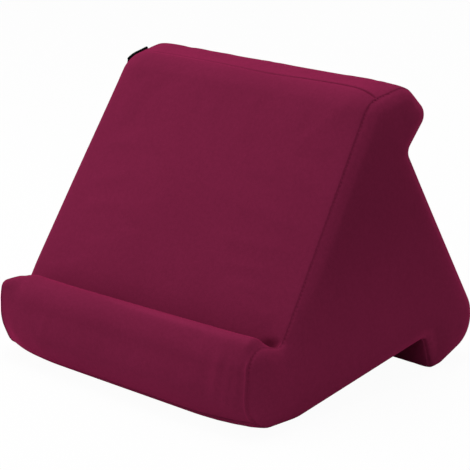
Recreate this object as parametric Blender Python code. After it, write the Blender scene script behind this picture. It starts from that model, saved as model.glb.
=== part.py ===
"""Tablet cushion stand: a foam block with a three-lobed section in a sewn velvet cover.

The section lies in the Y-Z plane and runs across the width in X. Each of its three faces ends in
a notch and a lobe, so that the stand can be turned to hold a tablet at three angles.
The front faces -Y, the floor is Z = 0, and the origin is the middle of the footprint. Metres.
In the section's own frame Y starts at the front seam, and Z at the seams under the front pad.
"""

import math

import bmesh
import bpy
import numpy as np
from mathutils import Vector
from mathutils.geometry import delaunay_2d_cdt

# Overall size across the side seams, measured at the floor
SEAM_WIDTH = 0.280
SIDE_LEAN = 2.7  # degrees that each side leans in as it rises

# Base, from the front of the stand backwards
FRONT_PAD_END = 0.045  # where the front pad stops and the base face starts to rise
BASE_RISE = 8.6  # degrees
FOOT_REACH = 0.0730  # foot's front edge, from where the rear face would meet the floor
FOOT_PAD = 0.0115  # flat under the rear foot
FOOT_INNER_ANGLE = 70.0  # degrees, the foot's front wall
FOOT_HEEL_RISE = 20.0  # degrees

# Rear face and the lobe at its head
REAR_FACE_ANGLE = 61.5  # degrees
REAR_NOTCH_BACK = 0.0386  # behind the shoulder
REAR_NOTCH_DROP = 0.0423  # below the shoulder
TOP_LEDGE_LENGTH = 0.0335
TOP_LEDGE_RISE = 44.0  # degrees
TOP_NOSE_SLANT = 51.0  # degrees
TOP_RISE = 13.0  # degrees that the top rises backwards

# Front face and the ledge at its foot
FRONT_FACE_ANGLE = 57.2  # degrees
FRONT_NOTCH_REACH = 0.0395
FRONT_NOTCH_HEIGHT = 0.0560
FRONT_LEDGE_RISE = 12.0  # degrees
SHOULDER_HEIGHT = 0.2160

# Corner radii of the section
FRONT_HEEL_RADIUS = 0.024
PAD_RADIUS = 0.030
UNDER_NOTCH_RADIUS = 0.006
TOE_RADIUS = 0.005
FOOT_HEEL_RADIUS = 0.012
REAR_HEEL_RADIUS = 0.030
REAR_NOTCH_RADIUS = 0.006
TOP_NOSE_RADIUS = 0.007
TOP_REAR_RADIUS = 0.015
SHOULDER_RADIUS = 0.015
FRONT_NOTCH_RADIUS = 0.007
FRONT_NOSE_RADIUS = 0.018

# Cloth, and how far the filling swells it out of the side seams' section
CLOTH = 0.002
FIT_GAP = 0.0003
PAD_SWELL = 0.0045  # down to the floor, under the front pad
FOOT_SWELL = 0.001  # down to the floor, under the rear foot
FACE_SWELL = 0.003
LEDGE_SWELL = 0.003
TOP_SWELL = 0.0006
REAR_SWELL = 0.0015
FRONT_NOTCH_SINK = 0.006
NOTCH_SINK = 0.003
SIDE_SWELL = 0.004
SIDE_SWELL_REACH = 0.014

# Woven loop label in the left side seam, at the shoulder
LABEL_WIDTH = 0.024
LABEL_LENGTH = 0.017
LABEL_THICKNESS = 0.0012
LABEL_LIFT = 0.0005
LABEL_STAND = 0.0018  # how far its fold stands out of the seam
LABEL_SHIFT = 0.006  # from the middle of the shoulder, backwards

# Fineness of the mesh
ARC_STEP = 15.0  # degrees
FACE_STEPS = 10
COLUMN_SHARES = (0.55, 0.75, 0.88, 0.96, 1.0)  # of half the width, out from the middle
LEVEL_SHARE = 0.55  # of a panel, where its swell is full
SIDE_RINGS = (0.005, 0.014)  # rows of points inside a side's seam
RING_ROOM = 0.93  # of a ring's depth, the least that a point on it keeps to the seam
SIDE_GRID = 0.024
GRID_ROOM = 0.022  # from a side's seam to its grid
LABEL_STEPS = 4
SMOOTH_ANGLE = 35.0  # degrees
WELD = 0.00001

# Colour and roughness of each material
VELVET = ((0.165, 0.013, 0.044, 1.0), 0.9)
FOAM = ((0.80, 0.74, 0.58, 1.0), 0.95)
RIBBON = ((0.010, 0.010, 0.012, 1.0), 0.6)


def clear_scene():
    for obj in list(bpy.data.objects):
        bpy.data.objects.remove(obj, do_unlink=True)


def material(name, colour, roughness):
    made = bpy.data.materials.new(name)
    made.use_nodes = True
    shader = made.node_tree.nodes["Principled BSDF"]
    shader.inputs["Base Color"].default_value = colour
    shader.inputs["Roughness"].default_value = roughness
    shader.inputs["Metallic"].default_value = 0.0
    return made


def direction(degrees):
    return Vector((math.cos(math.radians(degrees)), math.sin(math.radians(degrees))))


def meet(point, degrees, other, other_degrees):
    """Where the line through point at one angle meets the line through other at another."""
    along, across = direction(degrees), direction(other_degrees)
    share = (Vector(other) - Vector(point)).cross(across) / along.cross(across)
    return Vector(point) + along * share


def section_corners():
    """The sharp corners of the seams' section, anticlockwise seen from +X.

    Each is its name, (y, z), radius, swell, and the swell of the face that follows, if one does."""
    front_edge = Vector((0.0, 0.0))
    front_notch = Vector((FRONT_NOTCH_REACH, FRONT_NOTCH_HEIGHT))
    front_nose = meet(front_notch, 180.0 - FRONT_LEDGE_RISE, front_edge, 90.0)
    shoulder = front_notch + direction(FRONT_FACE_ANGLE) * (
        (SHOULDER_HEIGHT - FRONT_NOTCH_HEIGHT) / math.sin(math.radians(FRONT_FACE_ANGLE))
    )

    # The rear face hangs from the shoulder, and the foot lies where that face would meet the floor
    rear_notch = shoulder + Vector((REAR_NOTCH_BACK, -REAR_NOTCH_DROP))
    top_nose = rear_notch + direction(TOP_LEDGE_RISE) * TOP_LEDGE_LENGTH
    top_rear = meet(shoulder, TOP_RISE, top_nose, 180.0 - TOP_NOSE_SLANT)
    rear_angle = 180.0 - REAR_FACE_ANGLE
    rear_floor = meet(rear_notch, rear_angle, front_edge, 0.0)
    toe = rear_floor + Vector((-FOOT_REACH, FOOT_SWELL - PAD_SWELL))
    foot_heel = toe + Vector((FOOT_PAD, 0.0))
    rear_heel = meet(foot_heel, FOOT_HEEL_RISE, rear_floor, rear_angle)
    pad_end = Vector((FRONT_PAD_END, 0.0))
    under_notch = meet(pad_end, BASE_RISE, toe, 180.0 - FOOT_INNER_ANGLE)
    return [
        ("front_heel", front_edge, FRONT_HEEL_RADIUS, PAD_SWELL, None),
        ("pad_end", pad_end, PAD_RADIUS, PAD_SWELL, FACE_SWELL),
        ("under_notch", under_notch, UNDER_NOTCH_RADIUS, -NOTCH_SINK, None),
        ("toe", toe, TOE_RADIUS, FOOT_SWELL, None),
        ("foot_heel", foot_heel, FOOT_HEEL_RADIUS, FOOT_SWELL, None),
        ("rear_heel", rear_heel, REAR_HEEL_RADIUS, REAR_SWELL, FACE_SWELL),
        ("rear_notch", rear_notch, REAR_NOTCH_RADIUS, -NOTCH_SINK, None),
        ("top_nose", top_nose, TOP_NOSE_RADIUS, REAR_SWELL, None),
        ("top_rear", top_rear, TOP_REAR_RADIUS, TOP_SWELL, None),
        ("shoulder", shoulder, SHOULDER_RADIUS, TOP_SWELL, FACE_SWELL),
        ("front_notch", front_notch, FRONT_NOTCH_RADIUS, -FRONT_NOTCH_SINK, None),
        ("front_nose", front_nose, FRONT_NOSE_RADIUS, LEDGE_SWELL, None),
    ]


def corner_arc(before, corner, after, radius):
    """Points and outward normals round one corner. The number of steps is even, so one is the middle."""
    into = (corner - before).normalized()
    out = (after - corner).normalized()
    turn = math.atan2(into.cross(out), into.dot(out))
    side = math.copysign(1.0, turn)
    tangent = radius * math.tan(abs(turn) / 2)
    start = corner - into * tangent
    inward = Vector((-into.y, into.x))
    centre = start + inward * (radius * side)
    steps = 2 * max(1, round(abs(math.degrees(turn)) / ARC_STEP / 2))
    points, normals = [], []
    for step in range(steps + 1):
        angle = turn * step / steps
        outward = Vector((into.y, -into.x))
        outward = Vector(
            (
                outward.x * math.cos(angle) - outward.y * math.sin(angle),
                outward.x * math.sin(angle) + outward.y * math.cos(angle),
            )
        )
        points.append(centre + outward * (radius * side))
        normals.append(outward)
    return points, normals


def fullness(place):
    """Share of the swell at this place across a panel, from 0 at its edges, -1 and 1, to 1 where level."""
    past = max(0.0, (abs(place) - LEVEL_SHARE) / (1.0 - LEVEL_SHARE))
    return 1.0 - past**2


def face_points(start, end, swells):
    """Points along a face, and how far each swells. swells are those of its start, middle and end."""
    points, swell = [], []
    for step in range(1, FACE_STEPS):
        share = step / FACE_STEPS
        ends = swells[0] + (swells[2] - swells[0]) * share
        points.append(start.lerp(end, share))
        swell.append(ends + (swells[1] - ends) * fullness(2.0 * share - 1.0))
    return points, swell


class Section:
    """The closed outline of the side seams: its points, outward normals and swells.

    middle holds the index of each corner's middle point."""

    def __init__(self):
        corners = section_corners()
        arcs = []
        for index, (name, corner, radius, swell, face) in enumerate(corners):
            following = corners[(index + 1) % len(corners)]
            arcs.append(corner_arc(corners[index - 1][1], corner, following[1], radius))
        points, normals, swells = [], [], []
        self.middle = {}
        for index, (name, corner, radius, swell, face) in enumerate(corners):
            arc, arc_normals = arcs[index]
            self.middle[name] = len(points) + len(arc) // 2
            points += arc
            normals += arc_normals
            swells += [swell] * len(arc)
            if face is not None:
                after = (index + 1) % len(corners)
                span = face_points(arc[-1], arcs[after][0][0], (swell, face, corners[after][3]))
                points += span[0]
                normals += [arc_normals[-1]] * len(span[0])
                swells += span[1]
        self.points = np.array([tuple(p) for p in points])
        self.normals = np.array([tuple(n) for n in normals])
        self.swells = np.array(swells)

    def box(self):
        """Lowest and highest (y, z) of the cover, seams and swollen middle together."""
        full = np.vstack([self.points, self.points + self.normals * self.swells[:, None]])
        return full.min(axis=0), full.max(axis=0)

    def run(self, first, last):
        """Indices from one corner's middle to another's, both included."""
        start, stop = self.middle[first], self.middle[last]
        if stop <= start:
            stop += len(self.points)
        return [i % len(self.points) for i in range(start, stop + 1)]

    def distance(self, places):
        """Distance of each (y, z) place from the outline."""
        starts = self.points
        spans = np.roll(self.points, -1, axis=0) - starts
        lengths = np.maximum((spans**2).sum(axis=1), WELD**2)
        offsets = places[:, None, :] - starts[None]
        share = np.clip((offsets * spans).sum(axis=2) / lengths, 0.0, 1.0)
        gaps = offsets - share[..., None] * spans
        return np.sqrt((gaps**2).sum(axis=2)).min(axis=1)

    def holds(self, places):
        """Whether each (y, z) place lies inside the outline."""
        y, z = places[:, 0][:, None], places[:, 1][:, None]
        ys, zs = self.points[:, 0], self.points[:, 1]
        ye, ze = np.roll(ys, -1), np.roll(zs, -1)
        spans = (zs > z) != (ze > z)
        rise = np.where(ze == zs, 1.0, ze - zs)
        crossing = ys + (z - zs) / rise * (ye - ys)
        return (spans & (y < crossing)).sum(axis=1) % 2 == 1


def half_width(z):
    return SEAM_WIDTH / 2 - z * math.tan(math.radians(SIDE_LEAN))


def side_bulge(depth):
    """How far a side stands out at this distance in from its seam."""
    return SIDE_SWELL * (1.0 - np.exp(-depth / SIDE_SWELL_REACH))


def wrap_rows(section, indices, inset, slide=0.0):
    """Rows of points across the width. inset is the depth under the surface.

    slide draws the first and last rows in along the section, which leaves the gap of a seam."""
    columns = [-share for share in reversed(COLUMN_SHARES)] + [0.0] + list(COLUMN_SHARES)
    rows = []
    for place, index in enumerate(indices):
        point, normal = section.points[index], section.normals[index]
        tangent = np.array((-normal[1], normal[0]))
        shift = slide if place == 0 else -slide if place == len(indices) - 1 else 0.0
        y, z = point - normal * inset + tangent * shift
        reach = half_width(point[1]) - CLOTH - FIT_GAP
        row = []
        for column in columns:
            lift = section.swells[index] * fullness(column)
            row.append((column * reach, y + normal[0] * lift, z + normal[1] * lift))
        rows.append(row)
    return rows


def skin(bm, rows, closed=False):
    """Triangles over rows of points, the same on both sides of X = 0. Returns the grid of vertices."""
    grid = [[bm.verts.new(point) for point in row] for row in rows]
    count = len(grid) if closed else len(grid) - 1
    for r in range(count):
        here, there = grid[r], grid[(r + 1) % len(grid)]
        for c in range(len(here) - 1):
            a, b, d, e = here[c], here[c + 1], there[c + 1], there[c]
            left = c < len(here) // 2
            bm.faces.new((a, b, d) if left else (a, b, e))
            bm.faces.new((a, d, e) if left else (b, d, e))
    return grid


def rim(grid):
    """The vertices round the edge of a grid, in order."""
    top, bottom = grid[0], grid[-1][::-1]
    right = [row[-1] for row in grid[1:-1]]
    left = [row[0] for row in grid[1:-1]][::-1]
    return top + right + bottom + left


def wall(bm, one, other):
    """Quads between two closed loops of vertices."""
    for i in range(len(one)):
        j = (i + 1) % len(one)
        bm.faces.new((one[i], one[j], other[j], other[i]))


def finish(name, bm, finish_material, parent):
    bmesh.ops.remove_doubles(bm, verts=bm.verts, dist=WELD)
    bmesh.ops.recalc_face_normals(bm, faces=bm.faces)
    mesh = bpy.data.meshes.new(name)
    bm.to_mesh(mesh)
    bm.free()
    mesh.shade_smooth()
    mesh.set_sharp_from_angle(angle=math.radians(SMOOTH_ANGLE))
    obj = bpy.data.objects.new(name, mesh)
    obj.data.materials.append(finish_material)
    obj.parent = parent
    bpy.context.scene.collection.objects.link(obj)
    return obj


def wrap_panel(name, section, first, last, velvet, parent):
    """One cover panel that runs round the section between two corner seams."""
    indices = section.run(first, last)
    bm = bmesh.new()
    outer = skin(bm, wrap_rows(section, indices, 0.0, FIT_GAP / 2))
    inner = skin(bm, wrap_rows(section, indices, CLOTH, FIT_GAP / 2))
    wall(bm, rim(outer), rim(inner))
    return finish(name, bm, velvet, parent)


def side_places(section):
    """Places inside a side, in rings near its seam and on a grid further in."""
    found = []
    for ring in SIDE_RINGS:
        places = section.points - section.normals * ring
        clear = section.holds(places) & (section.distance(places) > ring * RING_ROOM)
        found += list(places[clear][::2] if ring == SIDE_RINGS[-1] else places[clear])
    low, high = section.points.min(axis=0), section.points.max(axis=0)
    grid = np.stack(
        np.meshgrid(
            np.arange(low[0] + SIDE_GRID / 2, high[0], SIDE_GRID),
            np.arange(low[1] + SIDE_GRID / 2, high[1], SIDE_GRID),
        ),
        axis=-1,
    ).reshape(-1, 2)
    clear = section.holds(grid) & (section.distance(grid) > GRID_ROOM)
    return np.array(found + list(grid[clear]))


def side_sheet(section):
    """Places and triangles of a flat side. The outline's own points come first."""
    points = [Vector(p) for p in section.points] + [Vector(p) for p in side_places(section)]
    ring = list(range(len(section.points)))
    made = delaunay_2d_cdt(points, [], [ring], 1, WELD)
    return np.array([tuple(p) for p in made[0]]), [tuple(face) for face in made[2]]


def side_vertices(bm, places, depths, side, inset):
    """Vertices of one side's surface. side is +1 for the right and -1 for the left."""
    return [
        bm.verts.new((side * (half_width(z) - inset + side_bulge(depth)), y, z))
        for (y, z), depth in zip(places, depths)
    ]


def side_panel(name, section, sheet, side, velvet, parent):
    """One flat-cut side panel of the cover, swollen by the filling."""
    places, faces = sheet
    depths = section.distance(places)
    bm = bmesh.new()
    outer = side_vertices(bm, places, depths, side, 0.0)
    inner = side_vertices(bm, places, depths, side, CLOTH)
    for face in faces:
        bm.faces.new([outer[i] for i in face])
        bm.faces.new([inner[i] for i in face][::-1])
    edge = range(len(section.points))
    wall(bm, [outer[i] for i in edge], [inner[i] for i in edge])
    return finish(name, bm, velvet, parent)


def foam_core(section, sheet, foam, parent):
    """The foam block, a fit gap inside the cover."""
    bm = bmesh.new()
    inset = CLOTH + FIT_GAP
    rows = skin(bm, wrap_rows(section, range(len(section.points)), inset), closed=True)
    places, faces = sheet
    inner = places[len(section.points) :]
    depths = section.distance(inner)
    for side, column in ((1.0, -1), (-1.0, 0)):
        vertices = [row[column] for row in rows]
        vertices += side_vertices(bm, inner, depths, side, inset)
        for face in faces:
            bm.faces.new([vertices[i] for i in face])
    return finish("foam_core", bm, foam, parent)


def along(section, start, distance):
    """The outline's point this far along it from the point with index start."""
    step = 1 if distance >= 0 else -1
    left, index = abs(distance), start
    while True:
        following = (index + step) % len(section.points)
        span = section.points[following] - section.points[index]
        length = math.hypot(*span)
        if length >= left:
            return section.points[index] + span * (left / max(length, WELD))
        left -= length
        index = following


def side_label(section, cloth, parent):
    """A woven label, folded and caught in the left seam, lying on the side panel."""
    start = section.middle["shoulder"]
    down = -section.normals[start]
    rows, covers = [], []
    for step in range(LABEL_STEPS + 1):
        across = LABEL_WIDTH * (step / LABEL_STEPS - 0.5)
        edge = along(section, start, -LABEL_SHIFT + across)
        drops = [LABEL_LENGTH * i / LABEL_STEPS - LABEL_STAND for i in range(LABEL_STEPS + 1)]
        places = np.array([edge + down * drop for drop in drops])
        bulges = side_bulge(section.distance(places) * section.holds(places))
        near = [half_width(z) + b + LABEL_LIFT for (y, z), b in zip(places, bulges)]
        rows.append([(-x, y, z) for x, (y, z) in zip(near, places)])
        covers.append([(-x - LABEL_THICKNESS, y, z) for x, (y, z) in zip(near, places)])
    bm = bmesh.new()
    under = skin(bm, rows)
    over = skin(bm, covers)
    wall(bm, rim(under), rim(over))
    return finish("side_label", bm, cloth, parent)


def main():
    clear_scene()
    velvet = material("velvet", *VELVET)
    foam = material("foam", *FOAM)
    ribbon = material("label_ribbon", *RIBBON)

    section = Section()
    low, high = section.box()
    stand = bpy.data.objects.new("tablet_cushion_stand", None)
    stand.location = (0.0, -(low[0] + high[0]) / 2, -low[1])
    bpy.context.scene.collection.objects.link(stand)

    sheet = side_sheet(section)
    foam_core(section, sheet, foam, stand)
    wrap_panel("front_panel", section, "shoulder", "front_heel", velvet, stand)
    wrap_panel("base_panel", section, "front_heel", "rear_heel", velvet, stand)
    wrap_panel("rear_panel", section, "rear_heel", "shoulder", velvet, stand)
    side_panel("right_side_panel", section, sheet, 1.0, velvet, stand)
    side_panel("left_side_panel", section, sheet, -1.0, velvet, stand)
    side_label(section, ribbon, stand)


main()
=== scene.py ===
# %% [markdown]
# # Tablet cushion stand
# A soft wedge that carries a tablet at three angles. It is one foam block in a sewn velvet cover,
# which has a strip for each of its three faces and two flat sides cut to the block's section.
# This lesson dresses the plain CAD part. It rebuilds each panel of the cover as swollen cloth, sews
# the seams, adds the ribbon tab, and makes the velvet, the foam and the light.

import math

import bmesh
import bpy
import numpy as np
from mathutils import Matrix
from mathutils.geometry import delaunay_2d_cdt
from mathutils.kdtree import KDTree


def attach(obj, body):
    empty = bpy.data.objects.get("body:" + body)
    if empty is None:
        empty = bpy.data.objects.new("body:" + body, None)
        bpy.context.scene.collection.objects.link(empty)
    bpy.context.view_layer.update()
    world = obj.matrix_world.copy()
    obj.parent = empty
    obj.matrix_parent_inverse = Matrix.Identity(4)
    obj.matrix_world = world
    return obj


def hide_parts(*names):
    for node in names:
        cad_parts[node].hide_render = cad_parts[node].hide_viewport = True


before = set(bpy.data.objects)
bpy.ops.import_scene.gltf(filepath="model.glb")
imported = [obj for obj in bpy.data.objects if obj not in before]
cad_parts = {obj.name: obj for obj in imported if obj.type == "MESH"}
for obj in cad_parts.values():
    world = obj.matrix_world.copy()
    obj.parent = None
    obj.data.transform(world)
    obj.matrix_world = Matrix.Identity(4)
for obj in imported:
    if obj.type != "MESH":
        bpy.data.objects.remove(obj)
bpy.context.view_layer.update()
print("nodes in the frame:", sorted(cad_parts))

# %% [markdown]
# ## The section that the side panels are cut to
# On the real stand the two sides are cut from one paper pattern, and the other panels are sewn to
# their edge. So everything starts from that pattern: twelve corners, each with its own radius. The
# lift says how far the filling pushes the cloth out there, in the middle of the width. The cloth
# reaches it only some way in from a side, because the seams hold it down.
# Y runs from the front to the rear and Z up, in millimetres.

# %% Corners of the pattern
CORNERS = [
    # name, y, z, radius, lift, reach of the lift in from the side
    ("front_heel", -125.2, 4.7, 25.0, 6.5, 68),
    ("pad_end", -75.3, 3.5, 31.0, 4.2, 68),
    ("under_notch", 69.4, 28.2, 5.0, -3.0, 40),
    ("toe", 76.0, 1.3, 5.0, 1.0, 26),
    ("foot_heel", 87.3, 2.6, 13.0, 1.9, 40),
    ("rear_heel", 137.7, 21.9, 27.0, 1.5, 63),
    ("rear_notch", 54.7, 176.8, 6.0, -3.0, 40),
    ("top_nose", 79.2, 202.0, 11.0, 3.1, 40),
    ("top_rear", 56.2, 226.4, 19.0, 2.2, 39),
    ("shoulder", 14.5, 220.5, 22.0, 4.6, 23),
    ("front_notch", -87.5, 60.1, 7.4, 2.0, 20),
    ("front_nose", -124.6, 68.7, 16.3, 1.2, 20),
]
FACE_LIFT = {"pad_end": 3.0, "rear_heel": 3.0, "shoulder": 3.0}  # of the face after that corner
FACE_REACH = 63
FACE_START = 0.225  # the share of a face at which its lift begins to be whole
FACE_LEVEL = {"pad_end": 0.225, "rear_heel": 0.225, "shoulder": 0.045}  # the same, from its end
print("the pattern has", len(CORNERS), "corners")

# %% [markdown]
# Each corner becomes an arc that touches the lines on both its sides. A cutter would draw it the
# same way, with a ruler and a round template.

# %% Draw the pattern
ARC_STEP = 6.0  # degrees
LEAST_STEPS = 3  # in half an arc


def draw_pattern():
    """Points, outward normals and lifts round the pattern, and each corner's place in the list."""
    spots = np.array([corner[1:3] for corner in CORNERS])
    points, normals, lifts, middle = [], [], [], {}
    for i, (name, _, _, radius, lift, reach) in enumerate(CORNERS):
        into = spots[i] - spots[i - 1]
        out = spots[(i + 1) % len(spots)] - spots[i]
        into, out = into / np.hypot(*into), out / np.hypot(*out)
        turn = math.atan2(into[0] * out[1] - into[1] * out[0], into @ out)
        side = math.copysign(radius, turn)
        start = spots[i] - into * radius * math.tan(abs(turn) / 2)
        centre = start + np.array((-into[1], into[0])) * side
        steps = 2 * max(LEAST_STEPS, round(abs(math.degrees(turn)) / ARC_STEP))
        middle[name] = len(points) + steps // 2
        for angle in np.linspace(0.0, turn, steps + 1):
            normal = np.array(
                (
                    into[1] * math.cos(angle) + into[0] * math.sin(angle),
                    into[1] * math.sin(angle) - into[0] * math.cos(angle),
                )
            )
            points.append(centre + normal * side)
            normals.append(normal)
            lifts.append((lift, reach))
        if name in FACE_LIFT:
            last = points[-1]
            for share in (FACE_START, 1 - FACE_LEVEL[name]):
                points.append(last + (spots[(i + 1) % len(spots)] - last) * share)
                normals.append(normal)
                lifts.append((FACE_LIFT[name], FACE_REACH))
    return np.array(points), np.array(normals), np.array(lifts), middle


points, normals, lifts, middle = draw_pattern()
lap = np.hypot(*(np.roll(points, -1, axis=0) - points).T)
places = np.concatenate([[0.0], np.cumsum(lap)])
LAP = places[-1]
print("once round the pattern:", round(LAP), "mm")

# %% [markdown]
# Everything on the cover is placed by its distance round this pattern, as a tailor measures along a
# seam. So the next functions give the pattern's point and its outward direction at any distance.

# %% Read the pattern at any distance
def pattern_at(distance):
    """(y, z) and outward normal at each distance round the pattern."""
    around = np.mod(distance, LAP)
    spot = [np.interp(around, places, np.append(points[:, k], points[0, k])) for k in (0, 1)]
    outward = [np.interp(around, places, np.append(normals[:, k], normals[0, k])) for k in (0, 1)]
    outward = np.stack(outward, axis=-1)
    outward = outward / np.linalg.norm(outward, axis=-1, keepdims=True)
    return np.stack(spot, axis=-1), outward


def beyond(distance, corner):
    """Distance past a corner's middle, the short way round."""
    return (distance - places[middle[corner]] + LAP / 2) % LAP - LAP / 2


def hump(offset, width):
    """1 in the middle of a soft hump, falling to 0 on both sides."""
    return np.exp(-((offset / width) ** 2))


def smooth(value):
    """Runs softly from 0 to 1 as a value does."""
    value = np.clip(value, 0, 1)
    return value * value * (3 - 2 * value)


def past(value, start, run):
    """0 up to a start, and 1 once a value is past it by a run."""
    return smooth((value - start) / run)


for corner in ("shoulder", "front_notch"):
    print(corner, "lies at", np.round(pattern_at(places[middle[corner]])[0], 1))

# %% [markdown]
# ## How the filling lifts the cloth
# The foam is cut a little larger than the cover, so the cloth rounds up from every seam and stands
# highest in the middle. The ledge's lip stands up in a ridge of its own, higher at the right. The
# lift is blurred along the way round, because cloth can't change its height in one step.

# %% Lift of the filling
LIFT_BLUR = 4.0
BLUR_REACH = 20
EDGE_ROUND = (0.8, 4.0)  # how high and how far in a panel rounds up from its seam
TOE_ROUND = (3.0, 13.0, 13.0)  # how much more by the toe, how far before it, and half width
CREST = (2.8, 8.5)  # height and half width of the ridge that the ledge's lip stands up in
CREST_RISE = 0.023  # by how much it stands higher for each millimetre to the right
CREST_LEAST = 1.2
CREST_END = 7.0  # how far in from a side the ridge reaches its height
CREST_SHIFT = 9.0  # from the corner's middle towards the notch

even = np.arange(0.0, LAP, 1.0)
window = np.exp(-((np.arange(-BLUR_REACH, BLUR_REACH + 1) / LIFT_BLUR) ** 2) / 2)


def blurred(values):
    """Values round the pattern, one to a millimetre, blurred along the way."""
    found = np.interp(even, places, np.append(values, values[0]))
    return np.convolve(np.tile(found, 3), window / window.sum(), "same")[len(even) : 2 * len(even)]


even_lift, even_reach = blurred(lifts[:, 0]), blurred(lifts[:, 1])


def lift_at(distance, x, from_side):
    """How far the filling lifts the cloth, at a distance round the pattern and in from the side."""
    full, reach = (np.interp(distance, even, v, period=LAP) for v in (even_lift, even_reach))
    share = 1 - (1 - np.clip(from_side / reach, 0, 1)) ** 2
    height = np.maximum(CREST[0] + CREST_RISE * x, CREST_LEAST)
    ridge = height * hump(beyond(distance, "front_nose") + CREST_SHIFT, CREST[1])
    more, before, width = TOE_ROUND
    round_up = EDGE_ROUND[0] * (1 + more * hump(beyond(distance, "toe") + before, width))
    edge = round_up * (1 - np.exp(-from_side / EDGE_ROUND[1]))
    return (full - round_up) * share + edge + ridge * smooth(from_side / CREST_END)


print("the filling lifts the cloth by up to", round(even_lift.max(), 1), "mm")

# %% [markdown]
# ## How a seam shapes the cloth beside it
# The panels are sewn face to face and turned out, so the seam pulls both edges down into a thin
# groove, and the allowance folded inside lifts a soft lip beside it. Each stitch pulls harder than
# the cloth between two stitches, which dots the groove. No hand or machine pulls every stitch
# alike, so the depth also wanders. Behind the front lobe's nose the groove nearly closes.

# %% Sizes of the side seams
WIDTH_AT_FLOOR = 280.0
WIDEST_HEIGHT = 4.5  # where that width is measured
SIDE_LEAN = math.tan(math.radians(2.6))
SEAM_DEPTH = 0.6
SEAM_RADIUS = 0.8
STITCH_PULL = 0.6
STITCH_PITCH = 3.1
PULL_WANDER = (17.0, 41.0)  # lengths over which the pull wanders
NOSE_CLOSES = (0.7, 14.0, 9.0)  # share of the depth that goes, how far before the nose, half width
FACE_LIP = (0.0, 0.75)  # height of the lip on the strips: elsewhere, and on the front lobe
SIDE_LIP = (0.25, 0.15)  # the same on the sides
LIP_START = 0.6  # the lip may stand at its whole height from this far in
LOBE_FADE = 12.0


def half_width(z):
    """Half the width across the side seams, at a height."""
    return WIDTH_AT_FLOOR / 2 - (z - WIDEST_HEIGHT) * SIDE_LEAN


def seam_depth(distance):
    """Depth of the side seam's groove, deepest at each stitch."""
    distance = np.mod(distance, LAP)
    stitch = np.cos(2 * math.pi * distance / STITCH_PITCH)
    quick, slow = PULL_WANDER
    wander = 0.6 + 0.4 * np.sin(distance / quick) * np.sin(distance / slow + 1)
    share, before, width = NOSE_CLOSES
    highlight_share = 1 - share * hump(beyond(distance, "front_nose") + before, width)
    return highlight_share * (SEAM_DEPTH * (0.8 + 0.2 * wander) + STITCH_PULL * stitch * wander)


def on_lobe(distance):
    """1 over the front of the front lobe, 0 away from it."""
    before_heel = smooth(-beyond(distance, "front_heel") / LOBE_FADE + 1)
    return smooth(beyond(distance, "front_nose") / LOBE_FADE) * before_heel


def lip(distance, heights):
    """Height of the lip beside the seam."""
    return heights[0] + (heights[1] - heights[0]) * on_lobe(distance)


stitches = round(LAP / STITCH_PITCH)
print("the side seam has", stitches, "stitches, up to", round(seam_depth(even).max(), 2), "mm deep")

# %% [markdown]
# ## Panels that run round the block
# Each is a net of rows along the pattern and columns across the width. The net is finest beside
# the seams, where the cloth bends most, and coarser in the middle. The top seam starts a little
# behind the shoulder, where the photograph shows it.

# %% Rows of a panel
SEAM_STEPS = np.array([0, 0.3, 0.6, 0.95, 1.35, 1.8, 2.4, 3.1, 4.0, 5.0, 6.1, 7.4, 9.0, 11.0, 13.5])
ROW_STEP = 1.2
COLUMN_STEP = 2.4
SEAM_BEHIND = {"shoulder": 8.0}
PANELS = {
    "base_panel": ("front_heel", "rear_heel"),
    "rear_panel": ("rear_heel", "shoulder"),
    "front_panel": ("shoulder", "front_heel"),
}


def run_between(first, last):
    """Start and length of the way round from one seam to the next."""
    start, stop = (places[middle[name]] - SEAM_BEHIND.get(name, 0.0) for name in (first, last))
    return start, (stop - start) % LAP


def graded(length, step):
    """Distances from 0 to length, close together near both ends."""
    inner = np.linspace(SEAM_STEPS[-1], length - SEAM_STEPS[-1], round(length / step))
    return np.concatenate([SEAM_STEPS, inner[1:-1], length - SEAM_STEPS[::-1]])


for node, ends in PANELS.items():
    print(node, "is", round(run_between(*ends)[1]), "mm long")

# %% [markdown]
# ## Marks of hand work
# The top seam doesn't run straight: it was eased back near the right side, where it ends in a small
# bow. At the right end of the front lobe the spare cloth falls in soft upright folds over a dent,
# and the notch ends in a pocket. Each is a low hump or hollow, placed as the photograph shows it.

# %% Top seam, folds, dent and pocket
TOP_SEAM_HEIGHT = 222
SEAM_PATH = (  # how far back the top seam runs, by the distance in from the right side
    (0, 9, 21, 33, 44, 66, 88, 110, 130, 160, 220, 262),
    (0, 1.8, 4.1, 5.4, 5.3, 4.2, 2.1, 0.6, 1.2, 2.8, 3.0, 0),
)
PATH_ENDS = (-40.0, 320.0)
DRIFT_REACH = 45.0  # rows farther than this from the top seam don't follow it
DRIFT_CLEAR = 4.0
FOLD_TOP = (2, 10)  # folds start this far below the nose, and are whole after this run
FOLD_FOOT = (52, 20)  # they end this far below it, and fade over this run before
FOLDS = ((7.5, 2.2, 0.6), (15.0, 3.0, 0.5), (25.0, 4.0, 0.4))  # place, half width, height
FOLD_SLANT = 0.13  # how far inwards a fold runs for each millimetre down
FOLD_WAVE = (1.2, 9.0)  # how far it sways, and over what length
DENT = (33.0, 30.0, 14.0, 0.9)  # in from the side, down from the nose, radius, depth
POCKET = (11.5, 8.5, 3.0, 4.5, 9.0)  # in from the side and half width, the same past the notch, depth


def seam_drift(x, from_side):
    """How far back a row beside the top seam is drawn."""
    reach = np.arange(*PATH_ENDS)
    path = np.convolve(np.interp(reach, *SEAM_PATH), window / window.sum(), "same")
    return np.interp(half_width(TOP_SEAM_HEIGHT) - x, reach, path) * (1 - hump(from_side, DRIFT_CLEAR))


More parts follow.
